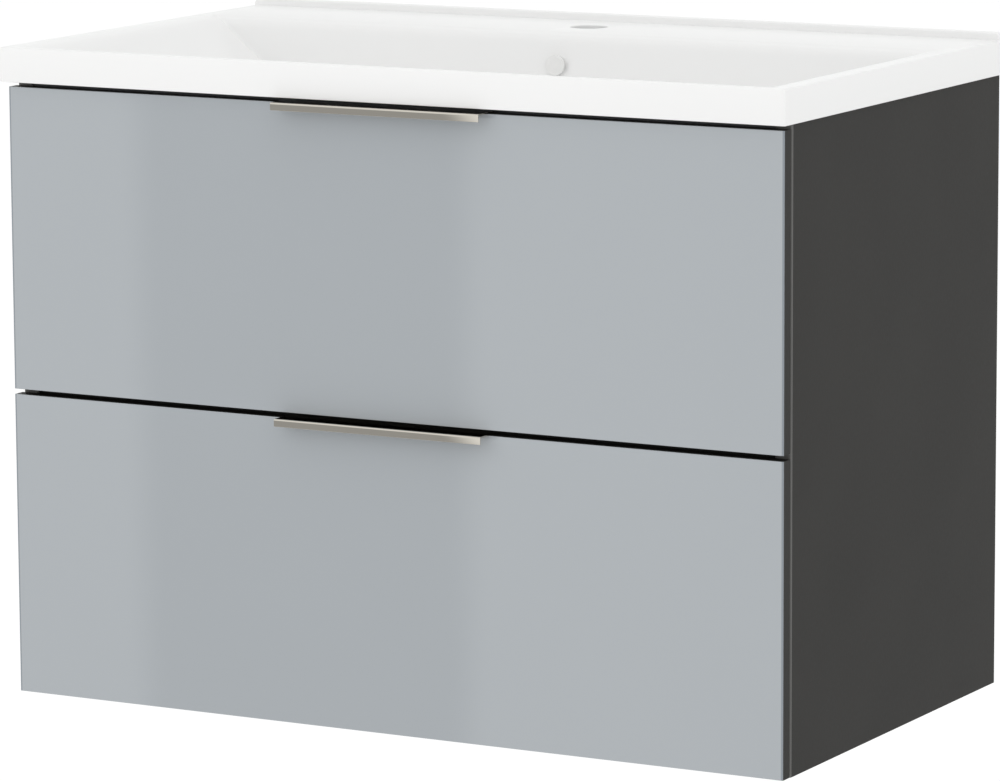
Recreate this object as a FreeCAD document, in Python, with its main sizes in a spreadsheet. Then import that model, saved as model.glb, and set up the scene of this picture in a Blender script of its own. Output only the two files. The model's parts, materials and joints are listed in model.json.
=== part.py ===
import FreeCAD, Part

import os
import re

import Sketcher

# Wall-hung bathroom vanity: a cabinet with two telescopic drawers under a cast-mineral washbasin.
# Millimetres. The origin lies on the wall plane, midway between the two wall screws.
# +X runs to the right, +Y into the wall and +Z up, so the drawers open towards -Y.

DIMENSIONS = [
    ("basin_width", 800, "washbasin, left to right"),
    ("basin_depth", 460, "washbasin, front edge to wall"),
    ("basin_edge", 32, "height of the washbasin's visible edge"),
    ("basin_deck", 14, "thickness of the washbasin's deck"),
    ("basin_skirt", 21, "width of the edge that rests on the cabinet"),
    ("basin_corner", 2.5, "radius of the washbasin's upright corners"),
    ("basin_lip", 1.8, "radius of the washbasin's upper edge"),
    ("upstand_height", 7, "low strip along the wall, above the deck"),
    ("upstand_depth", 9, "thickness of that strip"),
    ("upstand_round", 6, "radius of the strip's ends"),
    ("bowl_half", 386, "half width of the bowl at the rim"),
    ("bowl_knee", 373, "half width where the side slopes start"),
    ("bowl_knee_drop", 2.5, "depth of that line below the rim"),
    ("bowl_floor_half", 235, "half width of the bowl's floor"),
    ("bowl_floor_drop", 105, "depth of the floor's edge"),
    ("bowl_drop", 112, "depth of the bowl at the waste"),
    ("bowl_front", 7, "width of the front rim"),
    ("bowl_front_knee", 14, "front edge to the start of the front slope"),
    ("bowl_front_floor", 110, "front edge to the floor"),
    ("bowl_rear_floor", 322, "front edge to the floor's rear end"),
    ("bowl_rear_knee", 341, "front edge to the top of the rear wall"),
    ("bowl_rear", 345, "front edge to the rear rim"),
    ("bowl_shell", 12, "thickness of the bowl's floor"),
    ("waste_y", 235, "front edge to the waste hole"),
    ("waste_radius", 23, "waste hole"),
    ("waste_seat", 32, "radius of the seat around the waste hole"),
    ("waste_seat_drop", 113.5, "depth of that seat"),
    ("boss_radius", 38, "boss around the waste hole"),
    ("boss_drop", 140, "depth of the boss's lower face"),
    ("tap_y", 400, "front edge to the tap hole"),
    ("tap_radius", 17.5, "tap hole"),
    ("overflow_drop", 30, "depth of the overflow hole"),
    ("overflow_radius", 8, "overflow hole"),
    ("overflow_cap", 9.5, "radius of the overflow's cover"),
    ("cap_thick", 2, "overflow cover's cap, and the height of its windows"),
    ("cap_sleeve", 14, "overflow cover's sleeve"),
    ("cap_wall", 1.2, "wall of that sleeve"),
    ("cap_window", 3, "half width of its windows"),
    ("channel_half", 20, "half width of the overflow channel"),
    ("channel_wall", 6, "wall around the channel"),
    ("channel_front", 356, "front edge to the channel"),
    ("channel_depth", 13, "channel, front to back"),
    ("duct_half", 10, "half width of the duct from channel to waste"),
    ("duct_low", 134, "depth of the duct's floor"),
    ("duct_high", 122, "depth of the duct's ceiling"),
    ("cabinet_width", 790, "cabinet, left to right"),
    ("cabinet_height", 572, "cabinet, bottom to washbasin"),
    ("board", 16, "board thickness"),
    ("band", 2, "edge band"),
    ("hang_height", 522, "cabinet bottom to wall screws"),
    ("hang_half", 320, "half spacing of the wall screws"),
    ("hang_radius", 4.5, "hole for a wall screw"),
    ("hang_rail", 100, "height of the hanging rail"),
    ("low_rail", 80, "height of the lower rear rail"),
    ("mid_rail", 80, "depth of the middle rail"),
    ("mid_rail_set", 5, "middle rail behind the cabinet's front edge"),
    ("stretcher_thick", 1.5, "steel stretcher behind the upper front's top edge"),
    ("stretcher_high", 14, "steel stretcher"),
    ("stretcher_leg", 25, "steel stretcher, its ends along the side panels"),
    ("plate_side", 60, "hanger plate"),
    ("plate_thick", 3, "hanger plate"),
    ("front_set", 8.7, "washbasin's front edge to the drawer fronts"),
    ("front_thick", 13, "drawer front with its gloss face"),
    ("face_thick", 1, "gloss face"),
    ("front_room", 2.4, "drawer front to cabinet"),
    ("front_height", 280.8, "drawer front"),
    ("front_gap", 5, "between the two fronts"),
    ("front_low", 0.5, "cabinet bottom to the lower front"),
    ("pull_half", 106, "half width of a handle"),
    ("pull_reach", 16, "handle in front of the drawer front"),
    ("pull_thick", 1.2, "handle sheet"),
    ("pull_lip", 7, "height of the handle's lip"),
    ("pull_leg", 25, "height of the handle's rear leg"),
    ("screw_drop", 13, "front's top edge to the handle screws"),
    ("screw_pitch", 80, "between the handle screws"),
    ("screw_head", 3.2, "radius of a screw head"),
    ("screw_head_high", 2, "height of a screw head"),
    ("screw_shank", 1.8, "radius of a screw's shank"),
    ("screw_long", 11, "length of a screw's shank"),
    ("slide_thick", 12.7, "telescopic slide, cabinet to drawer"),
    ("slide_half", 22.5, "half height of a slide"),
    ("slide_sheet", 1.2, "sheet steel of a slide"),
    ("slide_ball", 3, "room for the balls between two members"),
    ("slide_long", 400, "length of a slide"),
    ("flat_head", 0.9, "height of a flat screw head inside a slide"),
    ("flat_head_radius", 4, "flat screw head"),
    ("flat_shank", 2, "radius of a slide screw's shank"),
    ("slide_screw_end", 35, "slide's end to its outer screws"),
    ("ball_radius", 1.45, "ball"),
    ("ball_pitch", 24, "between two balls of a cage"),
    ("cage_long", 186, "length of a ball cage"),
    ("cage_wide", 5, "width of a ball cage"),
    ("cage_thick", 0.6, "sheet of a ball cage"),
    ("cage_set", 7, "cabinet side to the middle of a ball cage"),
    ("slide_inset", 2, "slide behind the cabinet's front edge"),
    ("slide_up", 40, "drawer's lower edge to the slide's centre line"),
    ("slide_web", 2.2, "cabinet to the middle member's web"),
    ("drawer_base", 30, "lower edge of a drawer box above its front's lower edge"),
    ("drawer_long", 395, "drawer box, front to back"),
    ("wall_thick", 12, "drawer side"),
    ("wall_high", 118, "drawer side"),
    ("wall_foot", 15, "flange under the drawer bottom"),
    ("wall_foot_thick", 2, "flange under the drawer bottom"),
    ("floor_thick", 12, "drawer bottom"),
    ("back_high", 96, "drawer back"),
    ("back_thick", 12, "drawer back"),
    ("niche_half", 100, "half width of the recess for the trap"),
    ("niche_long", 255, "recess for the trap, back to front"),
    ("bracket_wide", 26, "front bracket"),
    ("bracket_high", 70, "front bracket"),
    ("bracket_thick", 1.5, "front bracket"),
    ("bumper_radius", 4, "bumper"),
    ("bumper_thick", 2.2, "bumper"),
    ("bumper_inset", 8, "front's side edge to a bumper"),
    ("bumper_rise", 15, "front's upper and lower edge to a bumper"),
    ("dowel_radius", 4, "dowel"),
    ("dowel_long", 30, "dowel"),
    ("dowel_sunk", 10, "dowel's depth in a side panel"),
]

doc = FreeCAD.newDocument("vanity_cabinet")
dims = doc.addObject("Spreadsheet::Sheet", "dims")
for row, (alias, value, note) in enumerate(DIMENSIONS, start=1):
    dims.set(f"A{row}", note)
    dims.set(f"B{row}", str(value))
    dims.setAlias(f"B{row}", alias)
doc.recompute()

SIDES = (("left", -1), ("right", 1))
finished = []


# ---- expressions -------------------------------------------------------------------------------


def bound(text):
    """The expression with each alias read from the sheet."""
    return re.sub(r"[a-z]\w*", r"dims.\g<0>", str(text))


def number(text):
    """The expression's value."""
    return float(dims.evalExpression(str(text)))


def bind(thing, prop, text):
    thing.setExpression(prop, bound(text))


def place(thing, low):
    """Put the object's own origin at three expressions."""
    for axis, text in zip("xyz", low):
        bind(thing, f".Placement.Base.{axis}", text)


# ---- building blocks ---------------------------------------------------------------------------


def keep(thing, label):
    """Name a finished sub-part, which is also the name of its file."""
    thing.Label = label
    finished.append(thing)
    return thing


def fresh_name(stem):
    return f"{stem}_{len(doc.Objects)}"


def new_sketch(body, plane):
    sketch = body.newObject("Sketcher::SketchObject", fresh_name("sketch"))
    support = next(f for f in body.Origin.OriginFeatures if f.Role == plane)
    sketch.AttachmentSupport = [(support, "")]
    sketch.MapMode = "FlatFace"
    return sketch


def outline(sketch, corners):
    """A closed polygon whose corners are pairs of expressions."""
    points = [FreeCAD.Vector(number(u), number(v), 0) for u, v in corners]
    count = len(points)
    for index, point in enumerate(points):
        sketch.addGeometry(Part.LineSegment(point, points[(index + 1) % count]), False)
    for index in range(count):
        sketch.addConstraint(Sketcher.Constraint("Coincident", index, 2, (index + 1) % count, 1))
    for index, pair in enumerate(corners):
        for kind, text in zip(("DistanceX", "DistanceY"), pair):
            size = Sketcher.Constraint(kind, -1, 1, index, 1, number(text))
            bind(sketch, f"Constraints[{sketch.addConstraint(size)}]", text)


def prism(plane, corners, start, length):
    """A body padded from an outline, along +X, +Y or +Z, between start and start + length."""
    body = doc.addObject("PartDesign::Body", fresh_name("body"))
    sketch = new_sketch(body, plane)
    outline(sketch, corners)
    pad = body.newObject("PartDesign::Pad", fresh_name("pad"))
    pad.Profile = sketch
    pad.Reversed = plane == "XZ_Plane"
    bind(pad, "Length", length)
    along = {"YZ_Plane": "x", "XZ_Plane": "y", "XY_Plane": "z"}[plane]
    bind(body, f".Placement.Base.{along}", start)
    return body


def block(low, size):
    """A rectangular body from its lowest corner and its three sizes."""
    wide, deep, tall = size
    corners = [(0, 0), (wide, 0), (wide, deep), (0, deep)]
    body = prism("XY_Plane", corners, low[2], tall)
    place(body, low)
    return body


def round_edges(body, radius, chosen):
    """Round the body's edges for which chosen(middle, direction) is true."""
    doc.recompute()
    tip = body.Tip
    names = []
    for index, edge in enumerate(tip.Shape.Edges, start=1):
        middle = edge.valueAt((edge.FirstParameter + edge.LastParameter) / 2)
        way = edge.tangentAt(edge.FirstParameter)
        if chosen(middle, way):
            names.append(f"Edge{index}")
    fillet = body.newObject("PartDesign::Fillet", fresh_name("fillet"))
    fillet.Base = (tip, names)
    bind(fillet, "Radius", radius)
    return body


def rod(start, axis, radius, length):
    """A cylinder from start along +X, +Y or +Z."""
    cylinder = doc.addObject("Part::Cylinder", fresh_name("rod"))
    bind(cylinder, "Radius", radius)
    bind(cylinder, "Height", length)
    turns = {"x": ((0, 1, 0), 90), "y": ((1, 0, 0), -90), "z": ((0, 0, 1), 0)}
    direction, angle = turns[axis]
    cylinder.Placement.Rotation = FreeCAD.Rotation(FreeCAD.Vector(*direction), angle)
    place(cylinder, start)
    return cylinder


def cut(base, *tools):
    result = base
    for tool in tools:
        step = doc.addObject("Part::Cut", fresh_name("cut"))
        step.Base = result
        step.Tool = tool
        result = step
    return result


def joined(kind, pieces):
    """Part::MultiFuse, Part::MultiCommon or Part::Compound of the pieces."""
    result = doc.addObject(kind, fresh_name("joined"))
    if kind == "Part::Compound":
        result.Links = pieces
    else:
        result.Shapes = pieces
    return result


def fuse(*pieces):
    return joined("Part::MultiFuse", list(pieces))


def overlap(*pieces):
    return joined("Part::MultiCommon", list(pieces))


def group(pieces):
    return joined("Part::Compound", list(pieces))


# ---- places shared by several sub-parts --------------------------------------------------------

BOTTOM = "-hang_height"
RIM = "(basin_edge + cabinet_height - hang_height)"
SHELF = "(cabinet_height - hang_height)"
BASIN_FRONT = "-basin_depth"
FRONT = "(front_set - basin_depth)"
FRONT_BACK = "(front_set + front_thick - basin_depth)"
CABINET_FRONT = "(front_set + front_thick + front_room - basin_depth)"
INSIDE = "(cabinet_width / 2 - board)"
DRAWER_SIDE = "(cabinet_width / 2 - board - slide_thick)"
DRAWER_ROOM = "(cabinet_width / 2 - board - slide_thick - wall_thick)"
DRAWER_REAR = "(front_set + front_thick - basin_depth + drawer_long)"
MID_RAIL = "(front_low + front_height + front_gap / 2 - board / 2 - hang_height)"
DRAWERS = (
    ("upper", "(front_low + front_height + front_gap - hang_height)"),
    ("lower", "(front_low - hang_height)"),
)


def below_rim(drop):
    return f"{RIM} - {drop}"


def behind_edge(distance):
    return f"{BASIN_FRONT} + {distance}"


# ---- washbasin ---------------------------------------------------------------------------------


def washbasin_slab():
    """The deck with its upstand, hollow underneath inside a skirt that rests on the cabinet."""
    slab = block(
        ("-basin_width / 2", BASIN_FRONT, SHELF), ("basin_width", "basin_depth", "basin_edge")
    )
    edge = number("basin_edge")
    round_edges(slab, "basin_corner", lambda middle, way: abs(way.z) > 0.9 and middle.y < 1)
    back = number("basin_depth") - 1
    round_edges(
        slab, "basin_lip", lambda middle, way: middle.z > edge - 0.1 and middle.y < back
    )
    hollow = block(
        ("basin_skirt - basin_width / 2", behind_edge("basin_skirt"), SHELF),
        (
            "basin_width - 2 * basin_skirt",
            "basin_depth - 2 * basin_skirt",
            "basin_edge - basin_deck",
        ),
    )
    upstand = block(
        ("-basin_width / 2", "-upstand_depth", below_rim("basin_lip")),
        ("basin_width", "upstand_depth", "upstand_height + basin_lip"),
    )
    top = number("upstand_height + basin_lip")
    round_edges(
        upstand, "upstand_round", lambda middle, way: middle.z > top - 0.1 and abs(way.y) > 0.9
    )
    return fuse(cut(slab, hollow), upstand)


def dish(across, along):
    """The space under both a left-to-right and a front-to-back section."""
    half = [(x, below_rim(drop)) for x, drop in across]
    mirrored = [(f"-{x}", z) for x, z in half if x != "0"]
    wide = prism("XZ_Plane", half + mirrored[::-1], BASIN_FRONT, "basin_depth")
    deep = prism(
        "YZ_Plane",
        [(behind_edge(y), below_rim(drop)) for y, drop in along],
        "-basin_width / 2",
        "basin_width",
    )
    return overlap(wide, deep)


def bowl_inside():
    return dish(
        [
            ("bowl_half", "0"),
            ("bowl_knee", "bowl_knee_drop"),
            ("bowl_floor_half", "bowl_floor_drop"),
            ("0", "bowl_drop"),
        ],
        [
            ("bowl_front", "0"),
            ("bowl_rear", "0"),
            ("bowl_rear_knee", "2 * bowl_knee_drop"),
            ("bowl_rear_floor", "bowl_floor_drop"),
            ("waste_y", "bowl_drop"),
            ("bowl_front_floor", "bowl_floor_drop"),
            ("bowl_front_knee", "bowl_knee_drop"),
        ],
    )


def bowl_outside():
    deep = "(bowl_floor_drop + bowl_shell)"
    return dish(
        [
            ("(bowl_knee + bowl_shell)", "bowl_shell / 2"),
            ("(bowl_floor_half + bowl_shell / 2)", deep),
        ],
        [
            ("bowl_front", "bowl_shell / 2"),
            ("(bowl_rear + bowl_shell - 3)", "bowl_shell / 2"),
            ("(bowl_rear_floor + bowl_shell)", deep),
            ("(bowl_front_floor - bowl_shell / 2)", deep),
        ],
    )


def washbasin():
    boss = rod(
        ("0", behind_edge("waste_y"), below_rim("boss_drop")),
        "z",
        "boss_radius",
        "boss_drop - bowl_floor_drop",
    )
    spine = block(
        ("-channel_half", behind_edge("waste_y"), below_rim("boss_drop")),
        ("2 * channel_half", "channel_front - waste_y", "boss_drop - bowl_floor_drop"),
    )
    casing = block(
        (
            "-channel_half - channel_wall",
            behind_edge("bowl_rear_floor"),
            below_rim("boss_drop"),
        ),
        (
            "2 * (channel_half + channel_wall)",
            "channel_front + channel_depth + channel_wall - bowl_rear_floor",
            "boss_drop - basin_deck / 2",
        ),
    )
    channel = block(
        ("-channel_half", behind_edge("channel_front"), below_rim("duct_low")),
        ("2 * channel_half", "channel_depth", "duct_low - 2 * basin_deck + 6"),
    )
    duct = block(
        ("-duct_half", behind_edge("waste_y"), below_rim("duct_low")),
        ("2 * duct_half", "channel_front - waste_y + 1", "duct_low - duct_high"),
    )
    waste = rod(
        ("0", behind_edge("waste_y"), below_rim("boss_drop + 1")),
        "z",
        "waste_radius",
        "boss_drop - bowl_floor_drop",
    )
    seat = rod(
        ("0", behind_edge("waste_y"), below_rim("waste_seat_drop")),
        "z",
        "waste_seat",
        "waste_seat_drop - bowl_floor_drop",
    )
    tap = rod(
        ("0", behind_edge("tap_y"), below_rim("basin_deck + 1")),
        "z",
        "tap_radius",
        "basin_deck + 2",
    )
    spill = rod(
        ("0", behind_edge("bowl_rear_floor - 5"), below_rim("overflow_drop")),
        "y",
        "overflow_radius",
        "channel_front - bowl_rear_floor + 6",
    )
    solid = fuse(washbasin_slab(), bowl_outside(), boss, spine, casing)
    return cut(solid, bowl_inside(), channel, duct, waste, seat, tap, spill)


def overflow_cover():
    """A round cap that stands clear of the bowl on a sleeve with four windows."""
    face = "(bowl_rear_floor + 9)"
    middle = below_rim("overflow_drop")
    cap = rod(("0", behind_edge(face), middle), "y", "overflow_cap", "cap_thick")
    sleeve = rod(
        ("0", behind_edge(f"{face} + cap_thick"), middle), "y", "overflow_radius", "cap_sleeve"
    )
    bore = rod(
        ("0", behind_edge(f"{face} + cap_thick"), middle),
        "y",
        "overflow_radius - cap_wall",
        "cap_sleeve + 1",
    )
    pieces = [bore]
    for wide, tall in (("overflow_cap", "cap_window"), ("cap_window", "overflow_cap")):
        low = (f"-{wide}", behind_edge(f"{face} + cap_thick"), f"{middle} - {tall}")
        pieces.append(block(low, (f"2 * {wide}", "cap_thick", f"2 * {tall}")))
    return cut(fuse(cap, sleeve), *pieces)


# ---- cabinet -----------------------------------------------------------------------------------


def across(sign, near, size):
    """The lowest x of a piece that starts near from the middle and is size wide."""
    return near if sign > 0 else f"-({near}) - ({size})"


def dowels():
    """Dowels that join the panels and rails to the two side panels."""
    rows = (
        (f"{CABINET_FRONT} + 60", f"{BOTTOM} + board / 2"),
        ("-basin_depth / 2", f"{BOTTOM} + board / 2"),
        ("-60", f"{BOTTOM} + board / 2"),
        (f"{CABINET_FRONT} + mid_rail_set + mid_rail / 4", f"{MID_RAIL} + board / 2"),
        (f"{CABINET_FRONT} + mid_rail_set + 3 * mid_rail / 4", f"{MID_RAIL} + board / 2"),
        ("-board / 2", f"{SHELF} - hang_rail / 4"),
        ("-board / 2", f"{SHELF} - 3 * hang_rail / 4"),
        ("-board / 2", f"{BOTTOM} + board + low_rail / 4"),
        ("-board / 2", f"{BOTTOM} + board + 3 * low_rail / 4"),
    )
    pins = []
    for _, sign in SIDES:
        inner = f"{INSIDE} + dowel_sunk - dowel_long"
        for y, z in rows:
            pins.append(rod((across(sign, inner, "dowel_long"), y, z), "x", "dowel_radius", "dowel_long"))
    return group(pins)


def side_panel(sign):
    front = f"{CABINET_FRONT} + band"
    return block((across(sign, INSIDE, "board"), front, BOTTOM), ("board", f"-({front})", "cabinet_height"))


def edge_band(sign):
    """The strip on a side panel's front edge, with both long edges rounded."""
    low = (across(sign, INSIDE, "board"), CABINET_FRONT, BOTTOM)
    strip = block(low, ("board", "band", "cabinet_height"))
    return round_edges(
        strip, "band - 0.2", lambda middle, way: abs(way.z) > 0.9 and middle.y < 0.1
    )


def rail(front, low, deep, tall):
    """A board between the two side panels."""
    return block((f"-{INSIDE}", front, low), (f"2 * {INSIDE}", deep, tall))


def front_stretcher():
    """A steel strip between the side panels, with its ends turned back along them."""
    front = f"{CABINET_FRONT} + stretcher_thick"
    back = f"{front} + stretcher_leg"
    inner = f"({INSIDE} - stretcher_thick)"
    corners = [
        (f"-{INSIDE}", front),
        (INSIDE, front),
        (INSIDE, back),
        (inner, back),
        (inner, f"{front} + stretcher_thick"),
        (f"-{inner}", f"{front} + stretcher_thick"),
        (f"-{inner}", back),
        (f"-{INSIDE}", back),
    ]
    return prism("XY_Plane", corners, f"{SHELF} - stretcher_high", "stretcher_high")


def hanger_holes():
    start = "-(board + plate_thick + 1)"
    return [
        rod((f"{sign} * hang_half", start, "0"), "y", "hang_radius", "board + plate_thick + 2")
        for _, sign in SIDES
    ]


def hanger_plate(sign):
    """A steel plate that spreads the load of one wall screw."""
    low = (f"{sign} * hang_half - plate_side / 2", "-(board + plate_thick)", "-plate_side / 2")
    return block(low, ("plate_side", "plate_thick", "plate_side"))


def build_cabinet(screws):
    pins = dowels()
    holes = group(hanger_holes())
    for side, sign in SIDES:
        keep(cut(side_panel(sign), pins, screws), f"side_panel_{side}")
        keep(edge_band(sign), f"edge_band_{side}")
        keep(cut(hanger_plate(sign), holes), f"hanger_plate_{side}")
    keep(cut(rail(CABINET_FRONT, BOTTOM, f"-({CABINET_FRONT})", "board"), pins), "bottom_panel")
    middle = rail(f"{CABINET_FRONT} + mid_rail_set", MID_RAIL, "mid_rail", "board")
    keep(cut(middle, pins), "middle_rail")
    hanging = rail("-board", f"{SHELF} - hang_rail", "board", "hang_rail")
    keep(cut(hanging, pins, holes), "hanging_rail")
    keep(cut(rail("-board", f"{BOTTOM} + board", "board", "low_rail"), pins), "rear_rail")
    keep(front_stretcher(), "front_stretcher")
    keep(pins, "dowels")


# ---- telescopic slides -------------------------------------------------------------------------


def channel(sign, drawer, near, far, half, web_first):
    """One member of a slide: a sheet channel near..far from the cabinet side, half its height."""
    middle = f"({drawer} + drawer_base + slide_up)"

    def x(distance):
        return f"{sign} * ({INSIDE} - ({distance}))"

    web, lips = (near, far) if web_first else (far, near)
    inner = f"{web} + slide_sheet" if web_first else f"{web} - slide_sheet"
    corners = [
        (x(web), f"{middle} - ({half})"),
        (x(lips), f"{middle} - ({half})"),
        (x(lips), f"{middle} - ({half}) + slide_sheet"),
        (x(inner), f"{middle} - ({half}) + slide_sheet"),
        (x(inner), f"{middle} + {half} - slide_sheet"),
        (x(lips), f"{middle} + {half} - slide_sheet"),
        (x(lips), f"{middle} + {half}"),
        (x(web), f"{middle} + {half}"),
    ]
    return prism("XZ_Plane", corners, f"{CABINET_FRONT} + slide_inset", "slide_long")


def slide_screws(sign, drawer, web, outwards, grip):
    """Three flat screws through the web of a slide member, whose inner face is at web."""
    pieces = []
    ends = ("slide_screw_end", "slide_long / 2", "slide_long - slide_screw_end")
    for along in ends:
        y = f"{CABINET_FRONT} + slide_inset + {along}"
        z = f"{drawer} + drawer_base + slide_up"
        head, shank = web, web
        if outwards:
            head = f"{web} - flat_head"
        else:
            shank = f"{web} - {grip}"
        spots = ((head, "flat_head", "flat_head_radius"), (shank, grip, "flat_shank"))
        screw = [rod((across(sign, x, long), y, z), "x", radius, long) for x, long, radius in spots]
        pieces.append(fuse(*screw))
    return pieces


def ball_cages(drawer, gap):
    """Four strips of balls, above and below the members of both slides."""
    reach = f"slide_half - slide_sheet - slide_ball / 2 - {gap} * (slide_sheet + slide_ball)"
    balls = int(number("cage_long / ball_pitch")) + 1
    start = f"{CABINET_FRONT} + slide_inset + (slide_long - cage_long) / 2"
    cages = []
    for _, sign in SIDES:
        middle_x = f"{sign} * ({INSIDE} - cage_set)"
        for up in (-1, 1):
            middle_z = f"{drawer} + drawer_base + slide_up + {up} * ({reach})"
            low = (f"{middle_x} - cage_wide / 2", start, f"{middle_z} - cage_thick / 2")
            cage = [block(low, ("cage_wide", "cage_long", "cage_thick"))]
            for index in range(balls):
                ball = doc.addObject("Part::Sphere", fresh_name("ball"))
                bind(ball, "Radius", "ball_radius")
                first = f"{start} + (cage_long - {balls - 1} * ball_pitch) / 2"
                place(ball, (middle_x, f"{first} + {index} * ball_pitch", middle_z))
                cage.append(ball)
            cages.append(fuse(*cage))
    return group(cages)


def build_slides(name, drawer, cabinet_screws, drawer_screws):
    step = "(slide_sheet + slide_ball)"
    for side, sign in SIDES:
        outer = channel(sign, drawer, "0", "slide_thick - 1.7", "slide_half", True)
        keep(cut(outer, cabinet_screws), f"cabinet_runner_{name}_{side}")
        middle = channel(
            sign, drawer, "slide_web", "slide_thick - 0.7", f"slide_half - {step}", True
        )
        keep(middle, f"middle_runner_{name}_{side}")
        inner = channel(
            sign, drawer, "slide_web + 2.2", "slide_thick", f"slide_half - 2 * {step}", False
        )
        keep(cut(inner, drawer_screws), f"drawer_runner_{name}_{side}")
    keep(ball_cages(drawer, 0), f"outer_ball_cages_{name}")
    keep(ball_cages(drawer, 1), f"inner_ball_cages_{name}")


# ---- drawers -----------------------------------------------------------------------------------


def handle(drawer):
    """An edge pull of bent sheet: rear leg, top plate on the front's upper edge, and front lip."""
    top = f"{drawer} + front_height"
    lip = f"{FRONT} - pull_reach"
    back = f"{FRONT_BACK} + pull_thick"
    corners = [
        (lip, f"{top} + pull_thick - pull_lip"),
        (f"{lip} + pull_thick", f"{top} + pull_thick - pull_lip"),
        (f"{lip} + pull_thick", top),
        (FRONT_BACK, top),
        (FRONT_BACK, f"{top} - pull_leg"),
        (back, f"{top} - pull_leg"),
        (back, f"{top} + pull_thick"),
        (lip, f"{top} + pull_thick"),
    ]
    return prism("YZ_Plane", corners, "-pull_half", "2 * pull_half")


def handle_screws(drawer):
    """Screws driven from inside the drawer, through the handle's leg, into the front."""
    pieces = []
    for step in (-1, 0, 1):
        x = f"{step} * screw_pitch"
        z = f"{drawer} + front_height - screw_drop"
        shank = rod(
            (x, f"{FRONT_BACK} + pull_thick - screw_long", z), "y", "screw_shank", "screw_long"
        )
        head = rod((x, f"{FRONT_BACK} + pull_thick", z), "y", "screw_head", "screw_head_high")
        pieces.append(fuse(shank, head))
    return group(pieces)


def drawer_wall(sign, drawer):
    """A steel-skinned drawer side with a foot that carries the drawer bottom."""
    low = f"{drawer} + drawer_base"
    corners = [
        (f"{sign} * {DRAWER_SIDE}", low),
        (f"{sign} * {DRAWER_SIDE}", f"{low} + wall_high"),
        (f"{sign} * {DRAWER_ROOM}", f"{low} + wall_high"),
        (f"{sign} * {DRAWER_ROOM}", f"{low} + wall_foot_thick"),
        (f"{sign} * ({DRAWER_ROOM} - wall_foot)", f"{low} + wall_foot_thick"),
        (f"{sign} * ({DRAWER_ROOM} - wall_foot)", low),
    ]
    wall = prism("XZ_Plane", corners, FRONT_BACK, "drawer_long")
    top = number(f"{low} + wall_high")
    return round_edges(
        wall, "wall_thick / 4", lambda middle, way: middle.z > top - 0.1 and abs(way.y) > 0.9
    )


def front_brackets(drawer):
    """Angles that join the drawer sides to the front."""
    low = f"{drawer} + drawer_base + wall_foot_thick + floor_thick"
    pieces = []
    for _, sign in SIDES:
        def x(distance):
            return f"{sign} * ({DRAWER_ROOM} - ({distance}))"

        corners = [
            (x("0"), FRONT_BACK),
            (x("bracket_wide"), FRONT_BACK),
            (x("bracket_wide"), f"{FRONT_BACK} + bracket_thick"),
            (x("bracket_thick"), f"{FRONT_BACK} + bracket_thick"),
            (x("bracket_thick"), f"{FRONT_BACK} + bracket_wide"),
            (x("0"), f"{FRONT_BACK} + bracket_wide"),
        ]
        pieces.append(prism("XY_Plane", corners, low, "bracket_high"))
    return group(pieces)


def bumpers(drawer):
    """Soft dots on the back of the front, which meet the cabinet's front edges."""
    pieces = []
    for _, sign in SIDES:
        for z in ("bumper_rise", "front_height - bumper_rise"):
            start = (f"{sign} * (cabinet_width / 2 - bumper_inset)", FRONT_BACK, f"{drawer} + {z}")
            pieces.append(rod(start, "y", "bumper_radius", "bumper_thick"))
    return group(pieces)


def drawer_floor(drawer, niche):
    low = f"{drawer} + drawer_base + wall_foot_thick"
    board = block(
        (f"-{DRAWER_ROOM}", FRONT_BACK, low),
        (f"2 * {DRAWER_ROOM}", "drawer_long", "floor_thick"),
    )
    if not niche:
        return board
    recess = block(
        ("-niche_half", f"{DRAWER_REAR} - niche_long", f"{low} - 1"),
        ("2 * niche_half", "niche_long + 1", "floor_thick + 2"),
    )
    return cut(board, recess)


def upright(drawer, low_x, low_y, wide, deep):
    """A board that stands on the drawer bottom."""
    low_z = f"{drawer} + drawer_base + wall_foot_thick + floor_thick"
    return block((low_x, low_y, low_z), (wide, deep, "back_high"))


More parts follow.
